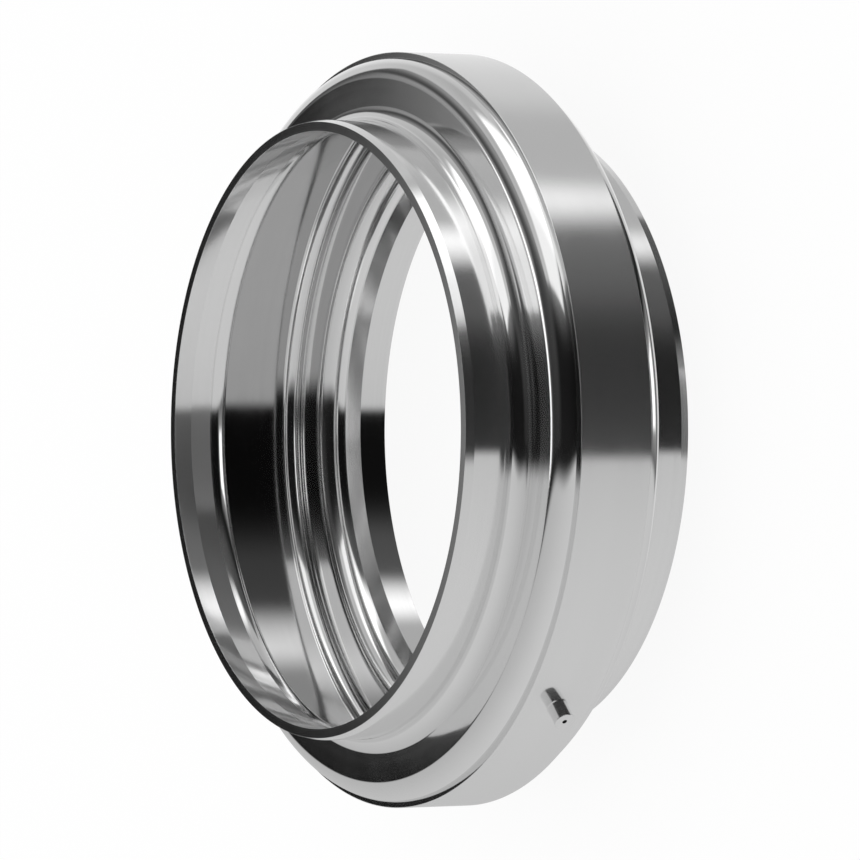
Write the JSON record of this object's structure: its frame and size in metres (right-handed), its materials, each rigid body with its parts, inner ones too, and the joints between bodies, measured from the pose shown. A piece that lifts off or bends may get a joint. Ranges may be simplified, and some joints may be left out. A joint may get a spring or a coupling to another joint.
{
  "type": "single-wave expansion joint",
  "caption": "Lens-shaped steel expansion joint: pressed shells between pipe weld ends, under an outer band with a drain nipple, that take up a duct's growth.",
  "frame": {"origin": "centre of the far end face, on the joint's axis", "axes": "+Z along the axis, from the far weld end to the near one; the drain nipple points midway between -X and -Y"},
  "size_m": [0.397, 0.397, 0.131],
  "materials": {
    "turned_steel": "bright turned stainless steel",
    "pressed_steel": "bright pressed stainless steel",
    "rolled_steel": "bright rolled stainless steel",
    "weld_steel": "dressed stainless steel weld"
  },
  "bodies": {
    "far_end": {"far_weld_end": "turned_steel", "far_neck_weld": "weld_steel", "far_half_shell": "pressed_steel"},
    "crest": {"crest_band": "rolled_steel", "crest_weld": "weld_steel", "near_half_shell": "pressed_steel", "drain_nipple": "turned_steel", "nipple_weld": "weld_steel"},
    "near_end": {"near_weld_end": "turned_steel", "near_neck_weld": "weld_steel"}
  },
  "joints": [
    {"name": "crest_travel", "type": "slide", "parent": "far_end", "child": "crest", "axis": [0, 0, 1], "range_m": [-0.001, 0.001], "stiffness_N_per_m": 240000000, "deforming": ["far_half_shell"]},
    {"name": "end_travel", "type": "slide", "parent": "crest", "child": "near_end", "axis": [0, 0, 1], "range_m": [-0.001, 0.001], "deforming": ["near_half_shell"]}
  ],
  "couplings": [
    {"joint": "end_travel", "follows": "crest_travel", "ratio": 1}
  ]
}
